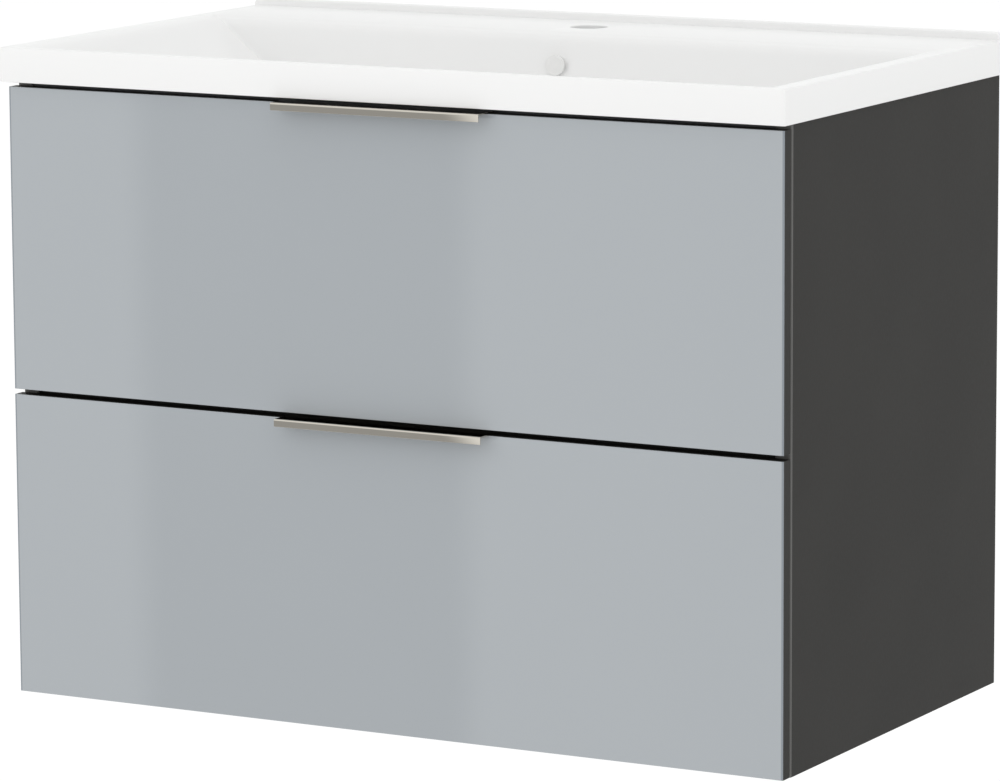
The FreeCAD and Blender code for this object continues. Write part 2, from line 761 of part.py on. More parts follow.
def build_drawer(name, drawer, runner_screws, niche):
    screws = handle_screws(drawer)
    panel = block(
        ("-cabinet_width / 2", f"{FRONT} + face_thick", drawer),
        ("cabinet_width", "front_thick - face_thick", "front_height"),
    )
    keep(cut(panel, screws), f"{name}_front")
    face = block(
        ("-cabinet_width / 2", FRONT, drawer), ("cabinet_width", "face_thick", "front_height")
    )
    round_edges(face, "face_thick / 2", lambda middle, way: middle.y < 0.1)
    keep(face, f"{name}_front_face")
    keep(cut(handle(drawer), screws), f"{name}_handle")
    keep(screws, f"{name}_handle_screws")
    for side, sign in SIDES:
        keep(cut(drawer_wall(sign, drawer), runner_screws), f"{name}_drawer_side_{side}")
    keep(drawer_floor(drawer, niche), f"{name}_drawer_bottom")
    keep(front_brackets(drawer), f"{name}_front_brackets")
    keep(bumpers(drawer), f"{name}_bumpers")
    back = f"{DRAWER_REAR} - back_thick"
    if not niche:
        wide = f"2 * {DRAWER_ROOM}"
        keep(upright(drawer, f"-{DRAWER_ROOM}", back, wide, "back_thick"), f"{name}_drawer_back")
        return
    near = "niche_half + back_thick"
    span = f"{DRAWER_ROOM} - niche_half - back_thick"
    for side, sign in SIDES:
        piece = upright(drawer, across(sign, near, span), back, span, "back_thick")
        keep(piece, f"{name}_drawer_back_{side}")
        wall = upright(
            drawer,
            across(sign, "niche_half", "back_thick"),
            f"{DRAWER_REAR} - niche_long",
            "back_thick",
            "niche_long",
        )
        keep(wall, f"{name}_niche_{side}")
    front = upright(
        drawer,
        f"-({near})",
        f"{DRAWER_REAR} - niche_long - back_thick",
        f"2 * ({near})",
        "back_thick",
    )
    keep(front, f"{name}_niche_front")


# ---- the whole ---------------------------------------------------------------------------------

keep(washbasin(), "washbasin")
keep(overflow_cover(), "overflow_cover")
screws = []
for name, drawer in DRAWERS:
    for side, sign in SIDES:
        screws += slide_screws(sign, drawer, f"({INSIDE} - slide_sheet)", True, "screw_long")
screws = keep(group(screws), "cabinet_runner_screws")
build_cabinet(screws)
for name, drawer in DRAWERS:
    web = f"({DRAWER_SIDE} + slide_sheet)"
    grip = "(wall_thick - 2)"
    fixings = []
    for side, sign in SIDES:
        fixings += slide_screws(sign, drawer, web, False, grip)
    fixings = keep(group(fixings), f"{name}_runner_screws")
    build_slides(name, drawer, screws, fixings)
    build_drawer(name, drawer, fixings, name == "upper")
doc.recompute()

for thing in doc.Objects:
    if "Invalid" in thing.State or "Error" in thing.State:
        raise RuntimeError(f"{thing.Label} failed: {thing.State}")
for thing in finished:
    if thing.Shape.isNull() or not thing.Shape.isValid():
        raise RuntimeError(f"{thing.Label} has no valid shape")

os.makedirs("parts", exist_ok=True)
for thing in finished:
    thing.Shape.exportStep(os.path.join("parts", f"{thing.Label}.step"))
print(len(finished), "sub-parts written")
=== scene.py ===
"""A wall-hung bathroom vanity: its looks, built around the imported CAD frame.

Metres, in the frame of the CAD model: the wall is the plane y = 0, +X is the user's right, +Z is up,
and the drawers open towards -Y. Each piece and each material has its own short function.
"""

import json
import math

import bmesh
import bpy
from mathutils import Matrix, Vector


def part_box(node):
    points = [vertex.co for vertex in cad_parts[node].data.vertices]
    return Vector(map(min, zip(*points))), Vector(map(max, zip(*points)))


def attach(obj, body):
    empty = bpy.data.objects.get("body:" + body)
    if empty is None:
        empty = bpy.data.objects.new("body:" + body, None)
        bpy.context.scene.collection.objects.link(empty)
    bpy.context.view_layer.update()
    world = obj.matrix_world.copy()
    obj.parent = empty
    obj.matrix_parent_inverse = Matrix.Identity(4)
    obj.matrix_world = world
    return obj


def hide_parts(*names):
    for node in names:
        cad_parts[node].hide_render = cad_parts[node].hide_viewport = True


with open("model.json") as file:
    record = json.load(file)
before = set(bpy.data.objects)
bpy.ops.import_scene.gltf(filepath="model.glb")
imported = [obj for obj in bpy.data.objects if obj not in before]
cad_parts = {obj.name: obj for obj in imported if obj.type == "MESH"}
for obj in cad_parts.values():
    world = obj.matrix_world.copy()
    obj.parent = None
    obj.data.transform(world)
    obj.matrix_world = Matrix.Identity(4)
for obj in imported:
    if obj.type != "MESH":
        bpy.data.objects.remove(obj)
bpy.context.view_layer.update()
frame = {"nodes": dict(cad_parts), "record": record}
nodes = frame["nodes"]

MM = 0.001

# ---- camera, stage and light -------------------------------------------------------------------

VIEW_AZIMUTH = math.radians(28.865)
VIEW_ELEVATION = math.radians(9.383)
VIEW_ROLL = math.radians(-0.318)
VIEW_DISTANCE = 5.1604
VIEW_TARGET = Vector((0.0121, -0.26, -0.2353))
LENS_MM = 201.88
SENSOR_MM = 36

FLOOR_DROP = 0.79
FLOOR_RADIUS = 60


class Graph:
    """A node tree that is filled by short calls, each of which gives back a node or a socket."""

    def __init__(self, tree):
        self.tree = tree
        tree.nodes.clear()

    def feed(self, socket, value):
        if isinstance(value, bpy.types.NodeSocket):
            self.tree.links.new(value, socket)
        else:
            socket.default_value = value

    def node(self, kind, inputs=None, **settings):
        made = self.tree.nodes.new("ShaderNode" + kind)
        for name, value in settings.items():
            setattr(made, name, value)
        for name, value in (inputs or {}).items():
            self.feed(made.inputs[name], value)
        return made

    def math(self, operation, *values, clamp=False):
        made = self.node("Math", operation=operation, use_clamp=clamp)
        for socket, value in zip(made.inputs, values):
            self.feed(socket, value)
        return made.outputs[0]

    def scaled(self, vector, size):
        """The vector times a number for each axis."""
        made = self.node("VectorMath", operation="MULTIPLY")
        self.feed(made.inputs[0], vector)
        made.inputs[1].default_value = size
        return made.outputs[0]

    def noise(self, vector, scale, detail=2.0, roughness=0.5):
        inputs = {"Vector": vector, "Scale": scale, "Detail": detail, "Roughness": roughness}
        return self.node("TexNoise", inputs).outputs[0]

    def ramp(self, value, stops, interpolation="LINEAR"):
        """Stops are pairs of a place and a grey level or a colour."""
        made = self.node("ValToRGB", {"Fac": value})
        band = made.color_ramp
        band.interpolation = interpolation
        band.elements.remove(band.elements[1])
        for index, (spot, level) in enumerate(stops):
            stop = band.elements.new(spot) if index else band.elements[0]
            stop.position = spot
            stop.color = (*level, 1) if isinstance(level, tuple) else (level, level, level, 1)
        return made.outputs[0]

    def between(self, value, low, high, bottom=0.0, top=1.0):
        """The value's share of low..high, as bottom..top."""
        inputs = {"Value": value, "From Min": low, "From Max": high, "To Min": bottom, "To Max": top}
        return self.node("MapRange", inputs).outputs[0]

    def mixed(self, factor, first, second):
        """A colour between two colours."""
        made = self.node("Mix", data_type="RGBA")
        self.feed(made.inputs["Factor"], factor)
        for name, colour in (("A", first), ("B", second)):
            socket = [s for s in made.inputs if s.name == name and s.type == "RGBA"][0]
            self.feed(socket, (*colour, 1) if isinstance(colour, tuple) else colour)
        return [s for s in made.outputs if s.type == "RGBA"][0]

    def bump(self, height, depth, strength=1.0, under=None):
        """A normal that follows a height of 0..1 times the depth in metres."""
        made = self.node("Bump", {"Height": height, "Distance": depth, "Strength": strength})
        if under is not None:
            self.feed(made.inputs["Normal"], under)
        return made.outputs[0]


def place_camera():
    data = bpy.data.cameras.new("camera")
    data.sensor_width = SENSOR_MM
    data.lens = LENS_MM
    camera = bpy.data.objects.new("camera", data)
    bpy.context.scene.collection.objects.link(camera)
    back = Vector(
        (
            math.sin(VIEW_AZIMUTH) * math.cos(VIEW_ELEVATION),
            -math.cos(VIEW_AZIMUTH) * math.cos(VIEW_ELEVATION),
            math.sin(VIEW_ELEVATION),
        )
    )
    camera.location = VIEW_TARGET + back * VIEW_DISTANCE
    turn = back.to_track_quat("Z", "Y").to_matrix()
    camera.rotation_euler = (turn @ Matrix.Rotation(VIEW_ROLL, 3, "Z")).to_euler()
    data.clip_end = 200
    bpy.context.scene.camera = camera


# Mirrors see a plain studio: broad soft panels stand all round at even steps, in degrees, with
# dimmer cloth between them.
PANEL_STEP = 8
PANEL_LIGHT = 1.25
CLOTH_LIGHT = 0.5
# across one step: where the cloth ends and the panel begins, and where it fades to cloth again
PANEL_STOPS = [(0.04, 0.0), (0.10, 1.0), (0.62, 1.0), (0.68, 0.0)]
# the plain light above the panels and below them, and the angles over which it takes over
HIGH_LIGHT = 1.15
LOW_LIGHT = 0.9
PANELS_UP = (-5.5, -3.5)
PANELS_DOWN = (-20, -30)


def studio_light(graph):
    """The light that mirrors see, by direction: the panels near the horizon, plain above and below."""
    ray = graph.node("TexCoord").outputs["Generated"]
    axes = graph.node("SeparateXYZ", {"Vector": ray}).outputs
    back = [graph.math("MULTIPLY", axis, -1) for axis in axes[:2]]
    turn = graph.math("DEGREES", graph.math("ARCTAN2", *back))
    rise = graph.math("DEGREES", graph.math("ARCSINE", axes[2]))
    share = graph.math("FRACT", graph.math("DIVIDE", turn, PANEL_STEP))
    panel = graph.ramp(share, PANEL_STOPS, "EASE")
    light = graph.between(panel, 0, 1, CLOTH_LIGHT, PANEL_LIGHT)
    for band, plain in ((PANELS_UP, HIGH_LIGHT), (PANELS_DOWN, LOW_LIGHT)):
        part = graph.between(rise, *band)
        change = graph.math("SUBTRACT", plain, light)
        light = graph.math("ADD", light, graph.math("MULTIPLY", part, change))
    return light


WORLD_LIGHT = 0.64


def make_world():
    """An even pale studio: the camera sees white, diffuse light is even, and mirrors see panels."""
    world = bpy.data.worlds.new("studio")
    world.use_nodes = True
    bpy.context.scene.world = world
    graph = Graph(world.node_tree)
    path = graph.node("LightPath").outputs
    even = graph.node("Background", {"Color": (1, 1, 1, 1), "Strength": WORLD_LIGHT}).outputs[0]
    white = graph.node("Background", {"Color": (1, 1, 1, 1), "Strength": 1.25}).outputs[0]
    level = studio_light(graph)
    mirror = graph.node("Background", {"Color": (0.985, 1, 0.995, 1), "Strength": level}).outputs[0]
    first = graph.node("MixShader", {"Fac": path["Is Glossy Ray"]})
    graph.feed(first.inputs[1], even)
    graph.feed(first.inputs[2], mirror)
    last = graph.node("MixShader", {"Fac": path["Is Camera Ray"]})
    graph.feed(last.inputs[1], first.outputs[0])
    graph.feed(last.inputs[2], white)
    graph.node("OutputWorld", {"Surface": last.outputs[0]})


def make_floor():
    mesh = bpy.data.meshes.new("floor")
    shape = bmesh.new()
    bmesh.ops.create_circle(shape, cap_ends=True, segments=96, radius=FLOOR_RADIUS)
    shape.to_mesh(mesh)
    floor = bpy.data.objects.new("floor", mesh)
    bpy.context.scene.collection.objects.link(floor)
    floor.location = (0, 0, -FLOOR_DROP)
    floor.visible_glossy = False
    material = bpy.data.materials.new("floor_paint")
    material.use_nodes = True
    graph = Graph(material.node_tree)
    paint = graph.node("BsdfDiffuse", {"Color": (0.85, 0.85, 0.85, 1)}).outputs[0]
    lift = graph.node("Emission", {"Color": (1, 1, 1, 1), "Strength": 1.12}).outputs[0]
    both = graph.node("MixShader", {"Fac": 0.8})
    graph.feed(both.inputs[1], paint)
    graph.feed(both.inputs[2], lift)
    graph.node("OutputMaterial", {"Surface": both.outputs[0]})
    mesh.materials.append(material)


# Each lamp: name, direction from the object, distance, side of the square, power in watts.
LAMPS = [
    ("key", (-0.55, -1.0, 0.55), 4.5, 5.0, 51),
    ("side", (1.0, -0.35, 0.35), 4.5, 5.0, 30),
    ("top", (0.25, -0.1, 1.0), 4.0, 4.0, 38),
]


def place_lamps():
    for name, way, distance, side, power in LAMPS:
        data = bpy.data.lights.new(name, "AREA")
        data.shape = "SQUARE"
        data.size = side
        data.energy = power
        lamp = bpy.data.objects.new(name, data)
        bpy.context.scene.collection.objects.link(lamp)
        direction = Vector(way).normalized()
        lamp.location = VIEW_TARGET + direction * distance
        lamp.rotation_euler = direction.to_track_quat("Z", "Y").to_euler()
        lamp.visible_glossy = False


# ---- materials ---------------------------------------------------------------------------------


def finish(name, base, roughness=0.5, **constants):
    """A material's graph, its Principled shader and the object's own coordinates."""
    material = bpy.data.materials.new(name)
    material.use_nodes = True
    material.diffuse_color = (*base, 1)
    graph = Graph(material.node_tree)
    shader = graph.node("BsdfPrincipled")
    shader.inputs["Base Color"].default_value = (*base, 1)
    shader.inputs["Roughness"].default_value = roughness
    for socket, value in constants.items():
        shader.inputs[socket.replace("_", " ")].default_value = value
    graph.node("OutputMaterial", {"Surface": shader.outputs[0]})
    spot = graph.node("TexCoord").outputs["Object"]
    return material, graph, shader.inputs, spot


def tone(base, share):
    """The colour, lighter or darker by a share."""
    return tuple(min(1, part * (1 + share)) for part in base)


def gel_coat(name, base):
    """Polished cast mineral: white, with a faint cloudiness and a slightly uneven polish."""
    material, graph, shader, spot = finish(name, base, IOR=1.45)
    cloud = graph.noise(spot, 6, 3)
    graph.feed(shader["Base Color"], graph.mixed(cloud, tone(base, -0.006), tone(base, 0.006)))
    polish = graph.noise(spot, 25, 4)
    graph.feed(shader["Roughness"], graph.between(polish, 0.3, 0.7, 0.30, 0.36))
    shader["Coat Weight"].default_value = 0.08
    shader["Coat Roughness"].default_value = 0.2
    graph.feed(shader["Normal"], graph.bump(graph.noise(spot, 90, 2), 0.01 * MM))
    return material


def melamine(name, base, pore, roughness):
    """Board facing: short fine pores along Z over a faint large cloud, printed and pressed."""
    material, graph, shader, spot = finish(name, base, IOR=1.45)
    shader["Specular IOR Level"].default_value = 0.13
    cloud = graph.noise(spot, 9, 3)
    speck = graph.noise(graph.scaled(spot, (pore, pore, pore * 0.35)), 1, 3, 0.65)
    shade = graph.math("MULTIPLY_ADD", cloud, 0.35, graph.math("MULTIPLY", speck, 0.65))
    share = graph.between(shade, 0.35, 0.65)
    graph.feed(shader["Base Color"], graph.mixed(share, tone(base, -0.13), tone(base, 0.13)))
    graph.feed(shader["Roughness"], graph.between(speck, 0.3, 0.7, roughness - 0.06, roughness + 0.06))
    fine = graph.noise(graph.scaled(spot, (pore * 2.2, pore * 2.2, pore * 0.9)), 1, 2)
    graph.feed(shader["Normal"], graph.bump(graph.math("ADD", fine, speck), 0.03 * MM))
    return material


def edge_strip(name, base):
    """ABS edge band: plain, with faint lines along its length."""
    material, graph, shader, spot = finish(name, base, IOR=1.48)
    lines = graph.noise(graph.scaled(spot, (1400, 1400, 12)), 1, 3)
    graph.feed(shader["Base Color"], graph.mixed(lines, tone(base, -0.1), tone(base, 0.1)))
    graph.feed(shader["Roughness"], graph.between(lines, 0.3, 0.7, 0.30, 0.40))
    graph.feed(shader["Normal"], graph.bump(lines, 0.01 * MM))
    return material


GLASS_AND_SHADE_EDGE = 2.0 * MM


def gloss_face(name, base, half_width):
    """High-gloss acrylic facing: almost flat, with a darker band along its two side edges, partly the
    acrylic's own edge tone and partly painted shade of the edge.
    """
    material, graph, shader, spot = finish(name, base, 0.008, IOR=1.56)
    axes = graph.node("SeparateXYZ", {"Vector": spot}).outputs
    cloud = graph.noise(spot, 7, 4)
    body = graph.mixed(cloud, tone(base, -0.012), tone(base, 0.012))
    from_middle = graph.math("ABSOLUTE", axes[0])
    # painted shade: the outer two millimetres at each side edge turn darker and bluer, partly the
    # acrylic's own edge tone
    glass_and_shade_mask = graph.between(from_middle, half_width - GLASS_AND_SHADE_EDGE, half_width - GLASS_AND_SHADE_EDGE * 0.7)
    graph.feed(shader["Base Color"], graph.mixed(glass_and_shade_mask, body, (0.235, 0.262, 0.290)))
    waves = graph.noise(graph.scaled(spot, (1, 1, 0.5)), 14, 1)
    graph.feed(shader["Normal"], graph.bump(waves, 0.004 * MM))
    return material


def polished(name, base, roughness):
    """Polished metal with faint grinding lines along X."""
    material, graph, shader, spot = finish(name, base, Metallic=1.0)
    lines = graph.noise(graph.scaled(spot, (20, 2200, 2200)), 1, 3, 0.6)
    graph.feed(shader["Base Color"], graph.mixed(lines, tone(base, -0.08), tone(base, 0.08)))
    broad = graph.noise(graph.scaled(spot, (8, 60, 60)), 1, 2)
    graph.feed(shader["Roughness"], graph.between(broad, 0.3, 0.7, roughness * 0.7, roughness * 1.3))
    graph.feed(shader["Normal"], graph.bump(lines, 0.0003 * MM))
    return material


def zinc(name, base, roughness):
    """Zinc plating: bright steel with soft patches and faint rolling lines along Y."""
    material, graph, shader, spot = finish(name, base, Metallic=1.0)
    patch = graph.noise(spot, 70, 2)
    lines = graph.noise(graph.scaled(spot, (1500, 14, 1500)), 1, 3)
    shade = graph.math("MULTIPLY_ADD", patch, 0.5, graph.math("MULTIPLY", lines, 0.5))
    share = graph.between(shade, 0.3, 0.7)
    graph.feed(shader["Base Color"], graph.mixed(share, tone(base, -0.12), tone(base, 0.1)))
    graph.feed(shader["Roughness"], graph.between(patch, 0.3, 0.7, roughness - 0.05, roughness + 0.07))
    graph.feed(shader["Normal"], graph.bump(lines, 0.0015 * MM))
    return material


def powder_coat(name, base):
    """Baked powder paint with its fine orange peel."""
    material, graph, shader, spot = finish(name, base, IOR=1.5)
    peel = graph.noise(spot, 700, 2)
    speck = graph.noise(spot, 1500, 2)
    graph.feed(shader["Base Color"], graph.mixed(speck, tone(base, -0.08), tone(base, 0.08)))
    graph.feed(shader["Roughness"], graph.between(peel, 0.3, 0.7, 0.38, 0.48))
    graph.feed(shader["Normal"], graph.bump(peel, 0.03 * MM))
    return material


def beech(name, base):
    """Raw beech: grain along X with short darker flecks."""
    material, graph, shader, spot = finish(name, base)
    grain = graph.noise(graph.scaled(spot, (30, 500, 500)), 1, 4)
    fleck = graph.noise(graph.scaled(spot, (300, 1800, 1800)), 1, 2)
    shade = graph.math("MULTIPLY_ADD", grain, 0.6, graph.math("MULTIPLY", fleck, 0.4))
    share = graph.between(shade, 0.35, 0.65)
    graph.feed(shader["Base Color"], graph.mixed(share, tone(base, -0.25), tone(base, 0.15)))
    graph.feed(shader["Roughness"], graph.between(fleck, 0.3, 0.7, 0.55, 0.7))
    graph.feed(shader["Normal"], graph.bump(fleck, 0.05 * MM))
    return material


def soft_plastic(name, base, roughness):
    """Moulded plastic or rubber with a fine even texture."""
    material, graph, shader, spot = finish(name, base, IOR=1.48)
    skin = graph.noise(spot, 1800, 2)
    speck = graph.noise(spot, 200, 2)
    graph.feed(shader["Base Color"], graph.mixed(speck, tone(base, -0.03), tone(base, 0.03)))
    graph.feed(shader["Roughness"], graph.between(skin, 0.3, 0.7, roughness - 0.05, roughness + 0.05))
    graph.feed(shader["Normal"], graph.bump(skin, 0.01 * MM))
    return material


def make_materials():
    """One material for each slot of the record."""
    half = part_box("upper_front_face")[1].x
    return {
        "cast_mineral": gel_coat("gel_coat", (0.86, 0.86, 0.855)),
        "white_plastic": soft_plastic("white_plastic", (0.84, 0.84, 0.83), 0.22),
        "anthracite_board": melamine("anthracite_melamine", (0.0270, 0.0259, 0.0240), 620, 0.52),
        # painted highlight: the edge band's grey is set well above the board's, standing in for the light
        # its rounded edge catches
        "edge_band": edge_strip("edge_band", (0.105, 0.103, 0.098)),
        "gloss_face": gloss_face("gloss_face", (0.379, 0.405, 0.427), half),
        "handle_steel": polished("polished_nickel", (0.56, 0.525, 0.47), 0.007),
        "zinc_steel": zinc("zinc_plate", (0.58, 0.60, 0.62), 0.34),
        "fixing_steel": zinc("bright_zinc", (0.66, 0.67, 0.68), 0.26),
        "drawer_metal": powder_coat("grey_powder_coat", (0.055, 0.056, 0.060)),
        "drawer_board": melamine("grey_melamine", (0.20, 0.20, 0.195), 900, 0.50),
        "beech": beech("beech", (0.60, 0.42, 0.26)),
        "bumper": soft_plastic("bumper_rubber", (0.55, 0.55, 0.55), 0.35),
    }


# ---- mesh tools --------------------------------------------------------------------------------


def add_piece(name, shape, body, slot, *stands_for, sharp=40, even=False):
    """A finished bmesh as a piece that rides on a body and stands for CAD nodes."""
    bmesh.ops.recalc_face_normals(shape, faces=shape.faces)
    mesh = bpy.data.meshes.new(name)
    shape.to_mesh(mesh)
    shape.free()
    mesh.shade_smooth()
    mesh.set_sharp_from_angle(angle=math.radians(sharp))
    mesh.materials.append(materials[slot])
    piece = bpy.data.objects.new(name, mesh)
    if even:
        piece.modifiers.new("even", "WEIGHTED_NORMAL").keep_sharp = True
    bpy.context.scene.collection.objects.link(piece)
    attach(piece, body)
    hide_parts(*stands_for)
    return piece


def add_row(shape, points):
    return [shape.verts.new(point) for point in points]


def bridge(shape, first, second, closed=True):
    """Quads between two rows with the same number of points."""
    count = len(first)
    for index in range(count if closed else count - 1):
        after = (index + 1) % count
        shape.faces.new((first[index], first[after], second[after], second[index]))


def bridge_all(shape, rows):
    for first, second in zip(rows, rows[1:]):
        bridge(shape, first, second)


def fill_between(shape, *loops):
    """Flat faces between closed loops of points that lie in one plane."""
    edges = []
    for loop in loops:
        for first, second in zip(loop, loop[1:] + loop[:1]):
            edges.append(shape.edges.get((first, second)) or shape.edges.new((first, second)))
    bmesh.ops.triangle_fill(shape, edges=edges, use_beauty=True)


def box_mesh(low, high):
    """A closed box from low to high."""
    shape = bmesh.new()
    bmesh.ops.create_cube(shape, size=1)
    for corner in shape.verts:
        corner.co = [a + (b - a) * (share + 0.5) for a, b, share in zip(low, high, corner.co)]
    return shape


def extruded(points, start, end):
    """A closed prism of a flat outline of (y, z) points, from start to end along X."""
    shape = bmesh.new()
    first, second = [add_row(shape, [(x, y, z) for y, z in points]) for x in (start, end)]
    bridge(shape, first, second)
    fill_between(shape, first)
    fill_between(shape, second)
    bmesh.ops.recalc_face_normals(shape, faces=shape.faces)
    return shape


def lathe(profile, middle, axis, steps=40):
    """A closed turned piece: pairs of radius and distance along an axis, from pole to pole."""
    shape = bmesh.new()
    turn = Vector(axis).to_track_quat("Z", "Y").to_matrix()

    def at(radius, along, angle):
        return Vector(middle) + turn @ Vector((radius * math.cos(angle), radius * math.sin(angle), along))

    rows = []
    for radius, along in profile[1:-1]:
        rows.append(add_row(shape, [at(radius, along, math.tau * step / steps) for step in range(steps)]))
    bridge_all(shape, rows)
    for row, (_, along) in ((rows[0], profile[0]), (rows[-1], profile[-1])):
        pole = shape.verts.new(at(0, along, 0))
        for index in range(steps):
            shape.faces.new((row[index], row[(index + 1) % steps], pole))
    bmesh.ops.recalc_face_normals(shape, faces=shape.faces)
    return shape


def shaped(shape, *steps):
    """The bmesh after a chain of booleans: pairs of an operation and a bmesh."""
    scene = bpy.context.scene.collection
    temporary = []

    def as_object(name, source):
        mesh = bpy.data.meshes.new(name)
        source.to_mesh(mesh)
        source.free()
        made = bpy.data.objects.new(name, mesh)
        scene.objects.link(made)
        temporary.append(made)
        return made

    base = as_object("boolean_base", shape)
    for operation, tool in steps:
        change = base.modifiers.new("boolean", "BOOLEAN")
        change.operation = operation
        change.solver = "EXACT"
        change.object = as_object("boolean_tool", tool)
    bpy.context.view_layer.update()
    result = bpy.data.meshes.new_from_object(base.evaluated_get(bpy.context.evaluated_depsgraph_get()))
    joined = bmesh.new()
    joined.from_mesh(result)
    bpy.data.meshes.remove(result)
    for made in temporary:
        mesh = made.data
        bpy.data.objects.remove(made)
        bpy.data.meshes.remove(mesh)
    return joined


def together(*shapes):
    """Several bmeshes as one."""
    whole = bmesh.new()
    for shape in shapes:
        mesh = bpy.data.meshes.new("part")
        shape.to_mesh(mesh)
        shape.free()
        whole.from_mesh(mesh)
        bpy.data.meshes.remove(mesh)
    return whole


def soften(node, width, segments=2):
    """Small rounded edges on a CAD node, by modifiers only."""
    piece = nodes[node]
    weld = piece.modifiers.new("weld", "WELD")
    weld.merge_threshold = 0.01 * MM
    bevel = piece.modifiers.new("bevel", "BEVEL")
    bevel.width = width
    bevel.segments = segments
    bevel.limit_method = "ANGLE"
    bevel.angle_limit = math.radians(50)
    piece.modifiers.new("even", "WEIGHTED_NORMAL")


# ---- washbasin ---------------------------------------------------------------------------------

SIDE_STEPS = 44
END_STEPS = 72
CORNER_STEPS = 8


def ring(half, front, rear, front_round, rear_round, height):
    """A closed row of points: a rectangle with rounded corners, from x = -half at the front."""
    points = []
    corners = [
        (half - front_round, front + front_round, front_round, -90),
        (half - rear_round, rear - rear_round, rear_round, 0),
        (rear_round - half, rear - rear_round, rear_round, 90),
        (front_round - half, front + front_round, front_round, 180),
    ]
    ends = []
    for x, y, radius, start in corners:
        arc = []
        for step in range(CORNER_STEPS + 1):
            angle = math.radians(start + 90 * step / CORNER_STEPS)
            arc.append((x + radius * math.cos(angle), y + radius * math.sin(angle)))
        ends.append(arc)
    steps = (SIDE_STEPS, END_STEPS, SIDE_STEPS, END_STEPS)
    for index, arc in enumerate(ends):
        points += arc
        start, end = arc[-1], ends[(index + 1) % 4][0]
        for step in range(1, steps[index]):
            share = step / steps[index]
            points.append((start[0] + (end[0] - start[0]) * share, start[1] + (end[1] - start[1]) * share))
    return [(x, y, height) for x, y in points]


def rounded_line(corners, radii, steps=10):
    """A polyline whose inner corners are rounded by curves that reach radius along both arms."""
    line = [corners[0]]
    for before, corner, after, reach in zip(corners, corners[1:], corners[2:], radii):
        first = Vector(before) - Vector(corner)
        second = Vector(after) - Vector(corner)
        start = Vector(corner) + first.normalized() * min(reach, first.length * 0.5)
        end = Vector(corner) + second.normalized() * min(reach, second.length * 0.5)
        for step in range(steps + 1):
            share = step / steps
            low = start.lerp(Vector(corner), share)
            high = Vector(corner).lerp(end, share)
            line.append(tuple(low.lerp(high, share)))
    line.append(corners[-1])
    return line


def offset_at(line, drop):
    """The first value of a line of (offset, drop) pairs where its drop is reached."""
    for (first, low), (second, high) in zip(line, line[1:]):
        if drop <= high:
            share = (drop - low) / (high - low) if high > low else 0
            return first + (second - first) * share
    return line[-1][0]


WASTE_Y = 235 * MM
WASTE_SEAT = 32 * MM
WASTE_RADIUS = 23 * MM
BOSS_RADIUS = 38 * MM
BOSS_DROP = 140 * MM
TAP_Y = 400 * MM
TAP_RADIUS = 17.5 * MM
DECK_THICK = 14 * MM
SKIRT = 21 * MM
UPSTAND_DEPTH = 9 * MM
UPSTAND_ROUND = 6 * MM
UPSTAND_HIGH = 7 * MM
FLUSH = 0.05 * MM
EDGE_HIGH = 32 * MM
BASIN_CORNER = 2.5 * MM
BASIN_LIP = 1.8 * MM


# The bowl's slopes, in millimetres below the rim: half its width, and its front and rear limits
# behind the basin's front face. Each has the reach of the two bends between its stretches.
BOWL_SIDE = [(386, 0), (373, 2.5), (235, 105), (32, 112)], (9, 60)
BOWL_FRONT = [(7, 0), (14, 2.5), (110, 105), (203, 112)], (5, 40)
BOWL_REAR = [(347, 0), (341, 4), (322, 105), (267, 112)], (7, 30)
BEND_STEPS = 12
BOWL_FLOOR_MM = 105
BOWL_TURN_MM = 103.5
BOWL_SEAT_MM = 112

# Rings of the bowl's outer surface, in millimetres: half width, front, rear, corner, drop.
BOWL_OUTSIDE = [
    (180, 90, 330, 60, 117),
    (228, 106, 332, 45, 116.4),
    (241, 100, 334, 40, 113),
    (250, 92, 336, 36, 106),
    (300, 60, 341, 24, 70),
    (360, 28, 348, 12, 24),
    (374, 22.5, 351, 9, 14),
]


def basin_ring(half, near, far, corners, drop, low, rim):
    """A ring given in millimetres behind the basin's front face and below its rim."""
    front_corner, rear_corner = corners
    return ring(
        half * MM,
        low.y + near * MM,
        low.y + far * MM,
        front_corner * MM,
        rear_corner * MM,
        rim - drop * MM,
    )


def bowl_rows(shape, low, rim):
    """The bowl's inner surface, from the rim down to the waste hole."""
    side = rounded_line(*BOWL_SIDE, BEND_STEPS)
    front = rounded_line(*BOWL_FRONT, BEND_STEPS)
    rear = rounded_line(*BOWL_REAR, BEND_STEPS)
    drops = [0.35 * step for step in range(0, 12)]
    drops += [4 + 2.2 * step for step in range(1, 37)]
    drops += [84 + 1.0 * step for step in range(1, 20)]
    drops += [103.5 + 0.5 * step for step in range(0, 18)]
    rows = []
    for drop in drops:
        half = offset_at(side, drop)
        near = offset_at(front, drop)
        far = offset_at(rear, drop)
        depth = drop / BOWL_FLOOR_MM
        corner_rear = 0.8 + 20 * min(depth, 1) ** 6
        corner_front = 5 + 40 * min(depth, 1) ** 1.5
        blend = max(0, (drop - BOWL_TURN_MM) / (BOWL_SEAT_MM - BOWL_TURN_MM))
        reach = min(half, (far - near) / 2)
        corner_rear += (reach - corner_rear) * blend
        corner_front += (reach - corner_front) * blend
        corners = (corner_front, corner_rear)
        rows.append(add_row(shape, basin_ring(half, near, far, corners, drop, low, rim)))
    bridge_all(shape, rows)
    return rows


def circle_ring(radius, middle_y, height):
    return ring(radius, middle_y - radius, middle_y + radius, radius, radius, height)


